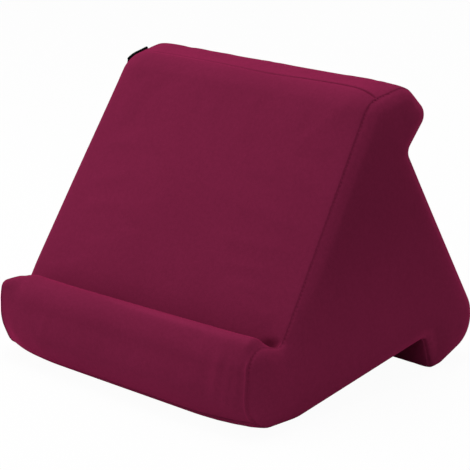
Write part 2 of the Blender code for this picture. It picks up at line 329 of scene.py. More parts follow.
def creases(distance, x, from_side):
    """Soft upright folds, a dent and a pocket at the right end of the front lobe."""
    down = beyond(distance, "front_nose")
    strength = past(down, *FOLD_TOP) * past(-down, -FOLD_FOOT[0], FOLD_FOOT[1]) * (x > 0)
    total = np.zeros_like(from_side)
    for place, width, height in FOLDS:
        sway = FOLD_WAVE[0] * np.sin(down / FOLD_WAVE[1] + place)
        total += height * hump(from_side - place - FOLD_SLANT * down - sway, width)
    place, below, radius, depth = DENT
    total = strength * total - depth * hump(from_side - place, radius) * hump(down - below, radius)
    place, radius, after, width, depth = POCKET
    along = hump(beyond(distance, "front_notch") - after, width)
    total = total - depth * hump(from_side - place, radius) * along
    return total * (x > 0)


print("the top seam runs back by up to", max(SEAM_PATH[1]), "mm, and there are", len(FOLDS), "folds")

# %% [markdown]
# A net is made from rows and columns: the pattern gives each row's place, and the lift, the seams
# and the creases move its points out or in along the pattern's outward direction.

# %% Nets of the three strips
FACE_LIP_AT = (1.9, 1.1)  # the lip's distance from the seam, and its half width
CROSS_SEAM_DEPTH = (0.3, 1.7)  # at the left and at the right
CROSS_SEAM_ENDS = (-60, 110)  # the x at which it has those depths
CROSS_SEAM_RADIUS = 1.0
CROSS_SEAM_CLEAR = 2.0  # it fades out this near a side seam
CREASE_START = 4.0
LEAN_REACH = 3.0


def panel_net(first, last):
    """Points in millimetres over one panel of the cover, its faces, and each point's seam room."""
    start, length = run_between(first, last)
    along = graded(length, ROW_STEP)
    reach = half_width(pattern_at(start + along)[0][:, 1])[:, None]
    shares = np.linspace(-1, 1, round(WIDTH_AT_FLOOR / COLUMN_STEP))[None, 1:-1]
    inner = shares * (reach - SEAM_STEPS[-1])
    x = np.hstack([SEAM_STEPS - reach, inner, (reach - SEAM_STEPS)[:, ::-1]])
    from_side = reach - np.abs(x)
    from_end = np.minimum(along, length - along)[:, None] + 0 * x
    to_seam = (along if first == "shoulder" else length - along)[:, None]
    drift = np.clip(1 - to_seam / DRIFT_REACH, 0, 1) if "shoulder" in (first, last) else 0.0
    place = start + along[:, None] - seam_drift(x, from_side) * drift

    spot, outward = pattern_at(place)
    lip_at, lip_width = FACE_LIP_AT
    beside = hump(from_side - lip_at, lip_width) * lip(place, FACE_LIP) * smooth(from_side / LIP_START)
    groove = seam_depth(start + along)[:, None] * hump(from_side, SEAM_RADIUS)
    cross = np.interp(x, CROSS_SEAM_ENDS, CROSS_SEAM_DEPTH) * hump(from_end, CROSS_SEAM_RADIUS)
    cross = cross * (1 - hump(from_side, CROSS_SEAM_CLEAR))
    rise = lift_at(place, x, from_side) + beside - groove - cross
    rise = rise + creases(place, x, from_side) * smooth(from_side / CREASE_START)
    y = spot[..., 0] + outward[..., 0] * rise
    z = spot[..., 1] + outward[..., 1] * rise
    lean_in = (z - spot[..., 1]) * SIDE_LEAN * hump(from_side, LEAN_REACH)
    x = x - np.sign(x) * (SEAM_DEPTH * hump(from_side, SEAM_RADIUS) + lean_in)

    rows, columns = x.shape
    corner = (np.arange(rows - 1)[:, None] * columns + np.arange(columns - 1)).ravel()
    faces = np.stack([corner, corner + columns, corner + columns + 1, corner + 1], axis=1)
    room = np.minimum(from_side, from_end).ravel()
    return np.stack([x, y, z], axis=-1).reshape(-1, 3), faces.tolist(), room


nets = {}
for node, ends in PANELS.items():
    nets[node] = panel_net(*ends)
    print(node, len(nets[node][1]), "squares")

# %% [markdown]
# ## The sides
# A side panel is flat when cut. Rings of points follow its seam inwards, at the same places as the
# strips' rows, so that the panels meet point for point.

# %% Rings of a side
RING_STEPS = SEAM_STEPS[:9]


def side_distances():
    """The distances round the pattern at which the other panels have their rows."""
    found = []
    for first, last in PANELS.values():
        start, length = run_between(first, last)
        found.append(start + graded(length, ROW_STEP)[:-1])
    return np.concatenate(found)


def side_rings(around):
    """Rings of (y, z) spots that follow the seam inwards, and the squares between them."""
    spot, outward = pattern_at(around)
    pull = seam_depth(around)
    spots, faces, count = [], [], len(spot)
    for depth in RING_STEPS:
        spots.append(spot - outward * (depth + pull * hump(depth, SEAM_RADIUS))[:, None])
    for ring in range(len(RING_STEPS) - 1):
        here = ring * count + np.arange(count)
        there = ring * count + (np.arange(count) + 1) % count
        faces += np.stack([here, there, there + count, here + count], axis=1).tolist()
    return spots, faces


side_around = side_distances()
print("each ring of a side has", len(side_around), "points")

# %% [markdown]
# A loose grid of points fills the rest of the side, and Blender's Delaunay function joins them with
# triangles. A point belongs to the side if a line from it crosses the pattern an odd number of times.

# %% Grid of a side
LOOSE_RINGS = ((5.2, 2), (7.0, 3), (9.6, 4))  # depth, and which points of the seam are taken
LOOSE_SPARE = 0.15
GRID_STEP = 3.0
GRID_ROOM = 12.0
WITHIN_OUTLINE = 1  # the Delaunay function's own number for triangles inside the ring only
SAME_SPOT = 1e-4


def from_pattern(spots):
    """Distance of each (y, z) from the pattern, and whether it lies inside."""
    edge = pattern_at(np.arange(0, LAP, 1.0))[0]
    after = np.roll(edge, -1, axis=0)
    gaps = np.linalg.norm(spots[:, None] - edge[None], axis=2).min(axis=1)
    y, z = spots[:, :1], spots[:, 1:]
    spans = (edge[:, 1] > z) != (after[:, 1] > z)
    rise = np.where(after[:, 1] == edge[:, 1], 1.0, after[:, 1] - edge[:, 1])
    crossing = edge[:, 0] + (z - edge[:, 1]) / rise * (after[:, 0] - edge[:, 0])
    return gaps, (spans & (y < crossing)).sum(axis=1) % 2 == 1


def loose_spots(around):
    """Spots inside the rings: three thinning rings, and then a grid."""
    spot, outward = pattern_at(around)
    batches = [((spot - outward * depth)[::skip], depth - LOOSE_SPARE) for depth, skip in LOOSE_RINGS]
    low, high = spot.min(axis=0), spot.max(axis=0)
    grid = np.meshgrid(*(np.arange(low[k], high[k], GRID_STEP) for k in (0, 1)))
    batches.append((np.stack(grid, axis=-1).reshape(-1, 2), GRID_ROOM))
    keep = []
    for batch, room in batches:
        gaps, inside = from_pattern(batch)
        keep.append(batch[inside & (gaps > room)])
    return keep


def side_net(around):
    """(y, z) spots, depths in from the seam, and faces."""
    count = len(around)
    rings, faces = side_rings(around)
    inner = np.vstack([rings[-1]] + loose_spots(around))
    outline = [list(range(count))]
    made = delaunay_2d_cdt([tuple(p) for p in inner.tolist()], [], outline, WITHIN_OUTLINE, SAME_SPOT)
    inner = np.array([tuple(p) for p in made[0]])
    offset = (len(RING_STEPS) - 1) * count
    faces += [[offset + i for i in face] for face in made[2]]
    spots = np.vstack(rings[:-1] + [inner])
    ringed = [np.full(count, depth) for depth in RING_STEPS]
    depths = np.concatenate(ringed + [from_pattern(inner[count:])[0]])
    return spots, depths, faces


side_spots, side_depths, side_faces = side_net(side_around)
print("a side has", len(side_spots), "points")

# %% [markdown]
# The filling pushes a side's middle out. The cloth turns over quickly beside the seam and then runs
# nearly flat. A few rounds of averaging take out what the loose grid adds, as stretched cloth would.

# %% Swell of the sides
SIDE_SWELL = ((6.4, 13.0), (0.8, 20.0))  # height and reach of the round edge, and of the flat middle
SIDE_ROUNDS = 5
SIDE_LIP_AT = (2.0, 1.3)


def swell(depth):
    """How far a side stands out at a depth in from its seam."""
    (edge, width), (middle_rise, reach) = SIDE_SWELL
    edge = edge * (1 - (1 - np.clip(np.asarray(depth) / width, 0, 1)) ** 2)
    return edge + middle_rise * (1 - np.exp(-np.asarray(depth) / reach))


def mean_of_neighbours(values, pairs, count):
    """Each point's mean of its neighbours' values, from pairs of (point, neighbour)."""
    total = np.maximum(np.bincount(pairs[:, 0], minlength=count), 1)
    return np.bincount(pairs[:, 0], values[pairs[:, 1]], minlength=count) / total


def both_ways(pairs):
    """The pairs, and the same turned round."""
    return np.vstack([pairs, pairs[:, ::-1]])


def side_lift(depths, faces, around):
    """How far a side stands out at each spot."""
    lift = swell(depths)
    pairs = both_ways(np.array([(f[k - 1], f[k]) for f in faces for k in range(len(f))]))
    inner = depths > RING_STEPS[-1] + 0.5
    for _ in range(SIDE_ROUNDS):
        lift = np.where(inner, mean_of_neighbours(lift, pairs, len(lift)), lift)
    ringed = len(around)
    lip_at, lip_width = SIDE_LIP_AT
    beside = hump(depths[:ringed] - lip_at, lip_width) * smooth(depths[:ringed] / LIP_START)
    lift[:ringed] += lip(around, SIDE_LIP) * beside
    return lift - SEAM_DEPTH * hump(depths, SEAM_RADIUS)


side_out = side_lift(side_depths, side_faces, np.tile(side_around, len(RING_STEPS)))
for node, side in (("right_side_panel", 1), ("left_side_panel", -1)):
    x = side * (half_width(side_spots[:, 1]) + side_out)
    faces = side_faces if side > 0 else [f[::-1] for f in side_faces]
    nets[node] = np.column_stack([x, side_spots]), faces, side_depths
    print(node, len(faces), "faces, swollen by", round(side_out.max(), 1), "mm")

# %% [markdown]
# ## How the stand settles
# A soft thing is never quite the shape that it was cut to. In the photograph the left end of the
# front lobe has fallen in and its top corner stands out like an ear, and the top sits a little
# higher on the right. The face runs on down behind the ledge's lip, and the pads lie flat where
# they touch the floor. One function moves any point in the way that the whole stand has moved, so
# the panels, the foam and the ribbon stay together.

# %% Settle
# Below, a name that ends in START holds where a thing starts and over what run it becomes whole.
# Where it holds two such pairs, the first is to the left or right, and the other forward or up.
FLOOR = 0.15  # the pads rest this far above Z = 0
SLACK = (4.6, 4.2)  # how far the lobe's left end falls in and down
SLACK_START = ((105, 32), (80, 25))
SLACK_UP_START = (15, 45)
HEEL_SLACK = (3.0, 19, 12)  # how far its heel falls in, at what height, half width
HEEL_BACK = 0.5  # share of that by which it also falls back
EAR = (9.3, 8.4)  # height and radius of its top corner
EAR_AT = (-124, 66)
EAR_START = (112, 25)
EAR_WAY = (0.7, 0.72)  # forward and up
FRONT_FALL = (2.6, 50, 17)  # how far the lobe's right end falls back, at what height, half width
FRONT_FALL_START = ((108, 25), (95, 15))
TOP_TILT = 1.0  # by how much the top is higher on the right and lower on the left
TOP_TILT_START = (120, 80)
HALF_TOP = 140
TOP_EAR = (1.6, 45, 16)  # how far the top's own left corner stands up, its y, half width
TOP_EAR_START = ((95, 30), (200, 20))
LEFT_LEAN = 1.3  # by how much more the left side leans in
LEAN_START = (90, 110)
LEAN_LEAST = -0.4  # below that height it leans out, by this share at most
LEAN_SPAN = 120
NOTCH_SLIDE = (8.6, 9.2)  # how far the face runs on down behind the ledge's lip, and its radius
NOTCH_AT = (-88, 61)
NOTCH_WAY = (0.54, 0.84)  # forward and down
NOTCH_END = (138, 40)  # the x at which the slide ends, and over what run it fades before


def settle(spots):
    """Moves points, in millimetres, as the stand's own weight and its sewing do."""
    x, y, z = spots.T
    near = past(-x, *SLACK_START[0]) * past(-y, *SLACK_START[1])
    ear = EAR[0] * hump(y - EAR_AT[0], EAR[1]) * hump(z - EAR_AT[1], EAR[1]) * past(-x, *EAR_START)
    fall, height, width = HEEL_SLACK
    heel = fall * near * hump(z - height, width)
    start, run = SLACK_UP_START
    z = z - SLACK[1] * near * np.clip((z - start) / run, 0, 1) + EAR_WAY[1] * ear
    z = z + TOP_TILT * x / HALF_TOP * past(z, *TOP_TILT_START)
    rise, top_y, width = TOP_EAR
    z = z + rise * past(-x, *TOP_EAR_START[0]) * hump(y - top_y, width) * past(z, *TOP_EAR_START[1])
    lean = np.clip((z - LEAN_START[0]) / LEAN_START[1], LEAN_LEAST, 1)
    x = x + SLACK[0] * near + heel + LEFT_LEAN * smooth(-x / LEAN_SPAN) * lean
    fall, height, width = FRONT_FALL
    to_right, to_front = FRONT_FALL_START
    back = fall * past(x, *to_right) * hump(z - height, width) * past(-y, *to_front)
    y = y - EAR_WAY[0] * ear + HEEL_BACK * heel + back
    to_notch = np.hypot(y - NOTCH_AT[0], z - NOTCH_AT[1])
    slide = NOTCH_SLIDE[0] * hump(to_notch, NOTCH_SLIDE[1]) * past(-x, -NOTCH_END[0], NOTCH_END[1])
    z = np.maximum(z - NOTCH_WAY[1] * slide, FLOOR)
    return np.column_stack([x, y - NOTCH_WAY[0] * slide, z])


for node, (spots, _, _) in nets.items():
    print(node, "settles by up to", round(float(np.abs(settle(spots) - spots).max()), 1), "mm")

# %% [markdown]
# ## Points to meshes and back
# The nets are plain lists of points, in millimetres. These helpers turn them into Blender meshes,
# which are in metres, and read points back from a mesh, also once its modifiers have acted.

# %% Helpers for meshes
def make_piece(name, vertices, faces):
    """A smooth mesh from points in millimetres."""
    mesh = bpy.data.meshes.new(name)
    mesh.from_pydata((np.asarray(vertices) * 0.001).tolist(), [], [list(f) for f in faces])
    mesh.shade_smooth()
    piece = bpy.data.objects.new(name, mesh)
    bpy.context.scene.collection.objects.link(piece)
    return piece


def read_points(mesh, what="co"):
    """A mesh's points in millimetres, or its normals."""
    values = np.empty(len(mesh.vertices) * 3)
    if what == "co":
        mesh.vertices.foreach_get("co", values)
        return values.reshape(-1, 3) * 1000
    mesh.vertex_normals.foreach_get("vector", values)
    return values.reshape(-1, 3)


def settled_copy(piece):
    """The piece's mesh with its modifiers applied."""
    return bpy.data.meshes.new_from_object(piece.evaluated_get(bpy.context.evaluated_depsgraph_get()))


# %% [markdown]
# ## Sew the cover
# The panels are joined into one closed bag, as the real cover is sewn, and remeshed evenly, which
# Blender's cloth needs. The sewn bag also gives the foam block its shape later.

# %% The sewn bag
VOXEL = 5.0
SEWN_WITHIN = 0.00002  # metres
AT_SEAM = 0.01


def sewn_bag():
    """All the panels as one closed object."""
    vertices, faces, offset = [], [], 0
    for panel_points, panel_faces, _ in nets.values():
        vertices.append(panel_points)
        faces += [[i + offset for i in face] for face in panel_faces]
        offset += len(panel_points)
    bag = make_piece("bag", np.vstack(vertices), faces)
    joined = bmesh.new()
    joined.from_mesh(bag.data)
    bmesh.ops.remove_doubles(joined, verts=joined.verts, dist=SEWN_WITHIN)
    bmesh.ops.recalc_face_normals(joined, faces=joined.faces)
    print("open edges in the sewn bag:", sum(not e.is_manifold for e in joined.edges))
    joined.to_mesh(bag.data)
    joined.free()
    return bag


def remeshed(piece, name, voxel, inset):
    """An even copy of a closed piece, smaller all round by the inset, that has settled."""
    shrink = piece.modifiers.new("shrink", "DISPLACE")
    shrink.mid_level = 0.0
    shrink.strength = -inset * 0.001
    remesh = piece.modifiers.new("remesh", "REMESH")
    remesh.mode = "VOXEL"
    remesh.voxel_size = voxel * 0.001
    mesh = settled_copy(piece)
    piece.modifiers.clear()
    mesh.shade_smooth()
    mesh.vertices.foreach_set("co", settle(read_points(mesh)).ravel() * 0.001)
    copy = bpy.data.objects.new(name, mesh)
    bpy.context.scene.collection.objects.link(copy)
    return copy


def near_tree(spots):
    """A tree that finds the spots nearest to a place."""
    tree = KDTree(len(spots))
    for i, spot in enumerate(spots.tolist()):
        tree.insert(spot, i)
    tree.balance()
    return tree


sewn = sewn_bag()
bag = remeshed(sewn, "bag", VOXEL, 0.0)
bag_rest, bag_normals = read_points(bag.data), read_points(bag.data, "normal")
seam_spots = np.vstack([spots[room < AT_SEAM] for spots, _, room in nets.values()])
seams = near_tree(settle(seam_spots))
seam_room = np.array([seams.find(spot)[2] for spot in bag_rest.tolist()])
print("the bag has", len(bag_rest), "points")

# %% [markdown]
# ## Fill it
# Blender's cloth now treats the bag as real fabric: its seams are held, the foam inside pushes out
# as a pressure, and the cloth is cut a little too large, so it finds its own soft waves. The bag is
# too coarse to keep the seams, and the nets already have the broad swelling. So only the waves are
# kept. They stay low, because the velvet in the photograph is drawn tight.

# %% Cloth
HELD = 7.0  # cloth nearer than this to a seam is held
SWELL_FRAMES = 20
PRESSURE = 4.0
SPARE_CLOTH = 0.02  # the share by which the cloth is larger than the foam
WAVE_CAP = 0.24
BROAD_ROUNDS = 40


def blown(bag):
    """Where the bag's points lie once the cloth has found its shape."""
    held = bag.vertex_groups.new(name="held")
    for i, room in enumerate(seam_room):
        if room < 2 * HELD:
            held.add([i], float(np.clip(2 - room / HELD, 0, 1)), "REPLACE")
    cloth = bag.modifiers.new("cloth", "CLOTH").settings
    cloth.use_pressure = True
    cloth.uniform_pressure_force = PRESSURE
    cloth.effector_weights.gravity = 0.0
    cloth.vertex_group_mass = "held"
    cloth.shrink_min = -SPARE_CLOTH
    for number in range(1, SWELL_FRAMES + 1):
        bpy.context.scene.frame_set(number)
    found = read_points(settled_copy(bag))
    bag.modifiers.clear()
    bpy.context.scene.frame_set(1)
    return found


def waves_of(moved):
    """The waves in a movement: what is left of it once its broad swelling is taken away."""
    height = ((moved - bag_rest) * bag_normals).sum(axis=1)
    pairs = both_ways(np.array([tuple(e.vertices) for e in bag.data.edges]))
    broad = height
    for _ in range(BROAD_ROUNDS):
        broad = mean_of_neighbours(broad, pairs, len(height))
    waves = height - broad
    print("swelling", round(float(np.abs(broad).max()), 2), "mm, waves", round(float(np.std(waves)), 3))
    return WAVE_CAP * np.tanh(waves / WAVE_CAP)


waves = waves_of(blown(bag))

# %% [markdown]
# ## Lay the cloth
# Each fine panel takes the waves of the bag's nearest points, and none beside a seam, which pulls
# the cloth flat.

# %% Lay the waves on the panels
WAVE_REACH = 4.0
WAVE_POINTS = 10
WAVE_START = 9.0  # waves fade out nearer than this to a seam


def wave_at(spots):
    """Wave height and direction at each spot, a soft mean of the bag's nearest points."""
    moves = np.zeros((len(spots), 3))
    for i, spot in enumerate(spots.tolist()):
        found = bag_tree.find_n(spot, WAVE_POINTS)
        order = [f[1] for f in found]
        weight = hump(np.array([f[2] for f in found]), WAVE_REACH) + 1e-6
        moves[i] = (bag_normals[order] * (waves[order] * weight)[:, None]).sum(axis=0) / weight.sum()
    return moves


bag_tree = near_tree(bag_rest)
cover = {}
for node, (spots, faces, room) in nets.items():
    spots = settle(spots)
    if waves.any():
        spots = spots + wave_at(spots) * (1 - hump(room, WAVE_START))[:, None]
        spots[:, 2] = np.maximum(spots[:, 2], FLOOR)
    cover[node] = make_piece("velvet_" + node, spots, faces)
    print(cover[node].name, "has", len(spots), "points")

# %% [markdown]
# ## Painted highlights
# Velvet's pile is a brush of short threads. Its colour is painted lighter in a few places, as a
# painted highlight: in a band along a side's turned edge, round the notch under the stand, and on
# the crest of the ledge's lip. Each point keeps a share of how strong its painted highlight is, for
# the material below.

# %% Painted highlights
# Where the painted highlights fall, and how strong they are there.
EDGE_BAND = (2.5, 4.0, 8.5)  # whole this far in from the seam, then where it fades and the run
EDGE_LOW = 0.15  # share of it low on the stand
EDGE_UP = (65, 70)  # the height from which it grows to its whole share, and over what run
UNDER_NOTCH = (71, 29, 15)  # y, z and radius
REAR_EDGE = (0.45, 0.65)  # share at the rear, and how much more by the notch
REAR_RUN = 30
CREST_SHARES = ((-130, -70, -10, 60, 125), (0.1, 0.7, 1.0, 0.8, 0.45))  # by x
CREST_AT = (-114, 5.5)  # y and half width
CREST_HEIGHT = (65.5, 4)


def edge_highlight(spots, room):
    """Share of painted highlight on a side: a band beside the seam, stronger high up, at the rear and by
    the notch under the stand.
    """
    _, y, z = spots.T
    notch_y, notch_z, radius = UNDER_NOTCH
    by_notch = REAR_EDGE[0] + REAR_EDGE[1] * hump(np.hypot(y - notch_y, z - notch_z), radius)
    share = np.maximum(EDGE_LOW + (1 - EDGE_LOW) * past(z, *EDGE_UP), by_notch * smooth(y / REAR_RUN))
    return share * smooth(room / EDGE_BAND[0]) * (1 - past(room, *EDGE_BAND[1:]))


def crest_highlight(spots):
    """Share of painted highlight on a strip: along the crest of the ledge's lip."""
    x, y, z = spots.T
    return np.interp(x, *CREST_SHARES) * hump(y - CREST_AT[0], CREST_AT[1]) * past(z, *CREST_HEIGHT)


for node, piece in cover.items():
    spots = read_points(piece.data)
    # Each point's share of painted highlight, kept for the material.
    highlight_share = edge_highlight(spots, nets[node][2]) if "side" in node else crest_highlight(spots)
    piece.data.attributes.new("painted_highlight", "FLOAT", "POINT").data.foreach_set("value", highlight_share)
    # The figure printed is the strongest share of painted highlight.
    print(piece.name, "has its pile open by up to", round(float(highlight_share.max()), 2))

# %% [markdown]
# ## Foam
# The filling is one block cut from a sheet of soft foam with a hot wire. It fills the cover, so its
# shape is the bag's, a little smaller all over.

# %% The foam block
FOAM_VOXEL = 4.0
FOAM_INSET = 4.5
foam = remeshed(sewn, "foam_block", FOAM_VOXEL, FOAM_INSET)
print("the foam block has", len(foam.data.polygons), "faces")
for done in (sewn, bag):
    bpy.data.objects.remove(done)

# %% [markdown]
# ## Ribbon tab
# A short length of black ribbon is folded in half and its ends are caught in the left seam as it is
# sewn. It stands out of the seam a little and hangs down the side. It is too small and stiff to
# need the cloth simulation, so its path is drawn in section and carried across its width.

# %% Section of the ribbon
TAB_LENGTH = 16.0
RIBBON_THICK = 0.45
TAB_CLEAR = 0.45  # between the ribbon and the velvet
TAB_STAND = 1.3  # how far it stands out of the seam
TAB_START = 2.0
TAB_STEPS = 9
TAB_LAYERS = (2.3, 0.6, 1.45)  # outer layer, inner layer and fold, in ribbon thicknesses
FOLD_OUT = 0.6


def tab_path():
    """The ribbon's way out of the seam, down the side, round its fold and back: (out, sideways)."""
    down = np.linspace(TAB_START, TAB_LENGTH, TAB_STEPS)
    clear = TAB_CLEAR + RIBBON_THICK / 2
    over, below, between = TAB_LAYERS
    outer = [(-d, swell(d) + clear + over * RIBBON_THICK) for d in down]
    inner = [(-d, swell(d) + clear + below * RIBBON_THICK) for d in down[::-1]]
    bend = (-TAB_LENGTH - FOLD_OUT, swell(TAB_LENGTH) + clear + between * RIBBON_THICK)
    top = [(-2.5, -0.7), (0.0, -0.5), (TAB_STAND, 0.1), (TAB_STAND + 0.1, 1.2), (0.3, 2.6)]
    under = [(0.0, 1.9), (TAB_STAND - 0.6, 0.9), (0.0, 0.1), (-2.5, -0.1)]
    return np.array(top + outer + [bend] + inner + under)


def tab_section():
    """A closed outline, one ribbon thick, round the path."""
    path = tab_path()
    along = np.gradient(path, axis=0)
    normal = np.stack([along[:, 1], -along[:, 0]], axis=1)
    normal = normal / np.linalg.norm(normal, axis=1)[:, None] * RIBBON_THICK / 2
    return np.vstack([path + normal, (path - normal)[::-1]])


print("the ribbon's section has", len(tab_section()), "points")

# %% [markdown]
# The section is carried across the ribbon's width, and each copy sits on the shoulder's own curve.

# %% Ribbon
TAB_WIDTH = 20.5
TAB_SHIFT = -10.5  # from the middle of the shoulder
TAB_COPIES = 12
TAB_WAVE = 0.03  # share by which its face waves in and out


def tab_mesh():
    """The ribbon's points and faces, settled with the stand."""
    outline = tab_section()
    across = np.linspace(-TAB_WIDTH / 2, TAB_WIDTH / 2, TAB_COPIES)
    vertices, faces, count = [], [], len(outline)
    for step, shift in enumerate(across):
        spot, outward = pattern_at(places[middle["shoulder"]] + TAB_SHIFT + shift)
        at = spot + outward * outline[:, :1]
        wave = TAB_WAVE * math.sin(step * 1.1)
        x = -(half_width(at[:, 1]) + outline[:, 1] * (1 + wave))
        vertices.append(np.column_stack([x, at]))
        if step:
            here = (step - 1) * count + np.arange(count)
            there = (step - 1) * count + (np.arange(count) + 1) % count
            faces += np.stack([here, here + count, there + count, there], axis=1).tolist()
    for end in (0, (len(across) - 1) * count):
        for i in range(count // 2 - 1):
            faces.append([end + i, end + i + 1, end + count - 2 - i, end + count - 1 - i])
    return settle(np.vstack(vertices)), faces


tab = make_piece("ribbon_tab", *tab_mesh())
print("the ribbon tab is", TAB_WIDTH, "mm wide and hangs", TAB_LENGTH, "mm")

# %% [markdown]
# ## Tools for the finishes
# Every finish here is made of noise at several scales, as real cloth is uneven at several scales.
# These few helpers each add one kind of node, so that a finish can be read as a short recipe.

# %% Helpers for materials
def noise(tree, where, scale, detail):
    """A noise texture's value."""
    made = tree.nodes.new("ShaderNodeTexNoise")
    made.inputs["Scale"].default_value = scale
    made.inputs["Detail"].default_value = detail
    tree.links.new(where, made.inputs["Vector"])
    return made.outputs["Fac"]


def ramp(tree, value, start, stop, low, high, way="LINEAR"):
    """Runs from low to high while a value runs from start to stop."""
    made = tree.nodes.new("ShaderNodeMapRange")
    made.interpolation_type = way
    for name, number in (("From Min", start), ("From Max", stop), ("To Min", low), ("To Max", high)):
        made.inputs[name].default_value = number
    tree.links.new(value, made.inputs["Value"])
    return made.outputs["Result"]


def varied(tree, where, scale, detail, low, high):
    """A noise of a scale and detail, whose middle range runs from low to high."""
    return ramp(tree, noise(tree, where, scale, detail), 0.3, 0.7, low, high)


def maths(tree, operation, one, other):
    """One operation on two values, each a number or another node's output."""
    made = tree.nodes.new("ShaderNodeMath")
    made.operation = operation
    for socket, value in zip(made.inputs, (one, other)):
        if isinstance(value, (int, float)):
            socket.default_value = value
        else:
            tree.links.new(value, socket)
    return made.outputs["Value"]


def times(tree, *tones):
    """The product of several tones."""
    product = tones[0]
    for tone in tones[1:]:
        product = maths(tree, "MULTIPLY", product, tone)
    return product


def new_material(name):
    """A material, its tree and shader, and the object's own coordinates."""
    made = bpy.data.materials.new(name)
    made.use_nodes = True
    tree = made.node_tree
    return made, tree, tree.nodes["Principled BSDF"], tree.nodes.new("ShaderNodeTexCoord").outputs["Object"]


def toned(tree, shader, colour, tone):
    """Sets the shader's colour to one colour, lighter and darker by a tone."""
    made = tree.nodes.new("ShaderNodeVectorMath")
    made.operation = "SCALE"
    made.inputs[0].default_value = colour
    tree.links.new(tone, made.inputs["Scale"])
    tree.links.new(made.outputs["Vector"], shader.inputs["Base Color"])


def bumped(tree, shader, height, distance, strength):
    """Dents the surface by a height, without moving it."""
    made = tree.nodes.new("ShaderNodeBump")
    made.inputs["Strength"].default_value = strength
    made.inputs["Distance"].default_value = distance
    tree.links.new(height, made.inputs["Height"])
    tree.links.new(made.outputs["Normal"], shader.inputs["Normal"])


# %% [markdown]
# ## Velvet
# Short pile stands off the cloth, so velvet is deep in colour where it faces the eye and glows
# where it turns away. That glow is the shader's sheen. Brushed patches, single tufts and a fine nap
# vary the colour. Painted highlights lighten it on the sides' turned edges, round the notch under
# the stand and on the crest of the ledge's lip. On the sides the colour also carries painted light
# and shade by height: lighter at the foot, darker higher up, and lighter again at the top.

# %% Velvet
VELVET = (0.163, 0.0138, 0.0462)
PATCHES = (11.0, 3.0, 0.955, 1.045)  # noise scale and detail, then the darkest and lightest tone
TUFTS = (380.0, 3.0, 0.95, 1.05)
NAP = (2600.0, 2.0, 0.9, 1.1)
VELVET_ROUGHNESS = (260.0, 2.0, 0.88, 1.0)
# how much lighter the painted highlight makes the colour at its strongest
HIGHLIGHT_TONE = 1.24
# Painted light and shade on the sides: the tone by height, lighter at the foot, darker higher up, lighter
# again at the top.
SIDE_SHADING_LOW = (0.04, 0.15, 1.05, 0.92)  # from one height to another, and the tones there
SIDE_SHADING_HIGH = (0.175, 0.215, 1.0, 1.08)
SHEEN = (0.32, 0.4, (1.0, 0.05, 0.24, 1.0))  # weight, roughness and tint
CLUMPS = (500.0, 2.0, 0.6)  # noise scale and detail, and share of the height
THREADS = (3000.0, 1.0, 0.4)
PILE_BUMP = (0.0004, 0.3)  # distance in metres, and strength


def painted_side_shading(tree, where):
    """A side's painted light and shade by height: lighter at the foot, darker higher up, and lighter again
    at the top.
    """
    parts = tree.nodes.new("ShaderNodeSeparateXYZ")
    tree.links.new(where, parts.inputs["Vector"])
    low, high = (ramp(tree, parts.outputs["Z"], *run, "SMOOTHSTEP") for run in (SIDE_SHADING_LOW, SIDE_SHADING_HIGH))
    return times(tree, low, high)


def velvet_material(name, is_side):
    """Velvet for the strips, or for the sides, whose colour also gets painted light and shade by height."""
    made, tree, shader, where = new_material(name)
    # Painted highlight: the colour grows lighter where the point's share of it is high.
    highlight_node = tree.nodes.new("ShaderNodeAttribute")
    highlight_node.attribute_name = "painted_highlight"
    highlight_tone = ramp(tree, highlight_node.outputs["Fac"], 0.0, 1.0, 1.0, HIGHLIGHT_TONE, "SMOOTHSTEP")
    tone = times(tree, *(varied(tree, where, *kind) for kind in (PATCHES, TUFTS, NAP)), highlight_tone)
    # The sides' colour also takes the painted light and shade by height.
    toned(tree, shader, VELVET, times(tree, tone, painted_side_shading(tree, where)) if is_side else tone)
    tree.links.new(varied(tree, where, *VELVET_ROUGHNESS), shader.inputs["Roughness"])
    shader.inputs["Specular IOR Level"].default_value = 0.0
    shader.inputs["Sheen Weight"].default_value = SHEEN[0]
    shader.inputs["Sheen Roughness"].default_value = SHEEN[1]
    shader.inputs["Sheen Tint"].default_value = SHEEN[2]
    heights = [maths(tree, "MULTIPLY", noise(tree, where, *k[:2]), k[2]) for k in (CLUMPS, THREADS)]
    bumped(tree, shader, maths(tree, "ADD", *heights), *PILE_BUMP)
    return made


strip_velvet, side_velvet = velvet_material("velvet", False), velvet_material("velvet_side", True)
print("velvet for the strips and for the sides:", strip_velvet.name, side_velvet.name)

# %% [markdown]
# ## Foam and ribbon
# Foam is a sponge of burst bubbles, pale and matt, so a fine cell pattern dents it. Ribbon is woven,
# so fine ribs run across it, and its black is never quite even.

# %% Foam and ribbon
FOAM = (0.8, 0.74, 0.58)
FOAM_TONE = (60.0, 3.0, 0.93, 1.05)
FOAM_ROUGHNESS = (300.0, 2.0, 0.85, 1.0)
CELL_SCALE = 900.0
CELL_BUMP = (0.0006, 0.6)
RIBBON_BLACK = (0.006, 0.005, 0.006)
RIBBON_TONE = (900.0, 2.0, 0.7, 1.4)
RIBBON_ROUGHNESS = (700.0, 1.0, 0.5, 0.7)
RIB_SCALE = 900.0
RIB_UNEVEN = 0.4
RIB_BUMP = (0.0001, 0.5)


